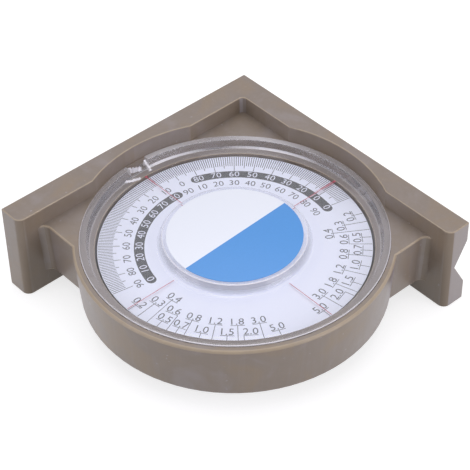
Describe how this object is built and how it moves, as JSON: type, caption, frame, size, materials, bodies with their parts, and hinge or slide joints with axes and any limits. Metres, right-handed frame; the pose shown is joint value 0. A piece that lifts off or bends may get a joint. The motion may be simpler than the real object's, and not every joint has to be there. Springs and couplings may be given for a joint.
{
  "type": "inclinometer",
  "caption": "L-shaped angle finder: flat magnetic leg, V-grooved leg, and a weighted dial turning freely under a clear cover in a round case.",
  "frame": {"origin": "centre of the box round the object, at the level of the surface that the legs lie on", "axes": "+Z is the dial axis, out of the dial face; +X runs along the flat magnetic leg and +Y along the V-grooved leg, both away from the corner"},
  "size_m": [0.1006, 0.1016, 0.031],
  "materials": {
    "moulded_plastic": "smooth, slightly glossy moulding",
    "clear_plastic": "clear, polished",
    "label_film": "printed film, satin",
    "printed_card": "printed card",
    "dark_plastic": "moulded, matte",
    "steel": "bright drawn steel",
    "plated_steel": "zinc plated",
    "brass": "turned",
    "nylon": "natural nylon",
    "ferrite": "ground ferrite"
  },
  "bodies": {
    "housing": {"frame": "moulded_plastic", "clear_cover": "clear_plastic", "cover_label": "label_film", "pivot_pin": "steel", "lower_washer": "nylon", "upper_washer": "nylon", "retaining_ring": "steel", "magnet_1": "ferrite", "magnet_2": "ferrite", "magnet_back_plate_1": "plated_steel", "magnet_back_plate_2": "plated_steel"},
    "dial": {"dial_card": "printed_card", "dial_disc": "dark_plastic", "hub_bush": "brass", "counterweight": "plated_steel", "weight_rivet_1": "steel", "weight_rivet_2": "steel", "weight_rivet_3": "steel"}
  },
  "joints": [
    {"name": "dial_spin", "type": "hinge", "parent": "housing", "child": "dial", "pos_m": [0.00085, 0.0014, 0.02025], "axis": [0, 0, 1], "continuous": true}
  ]
}
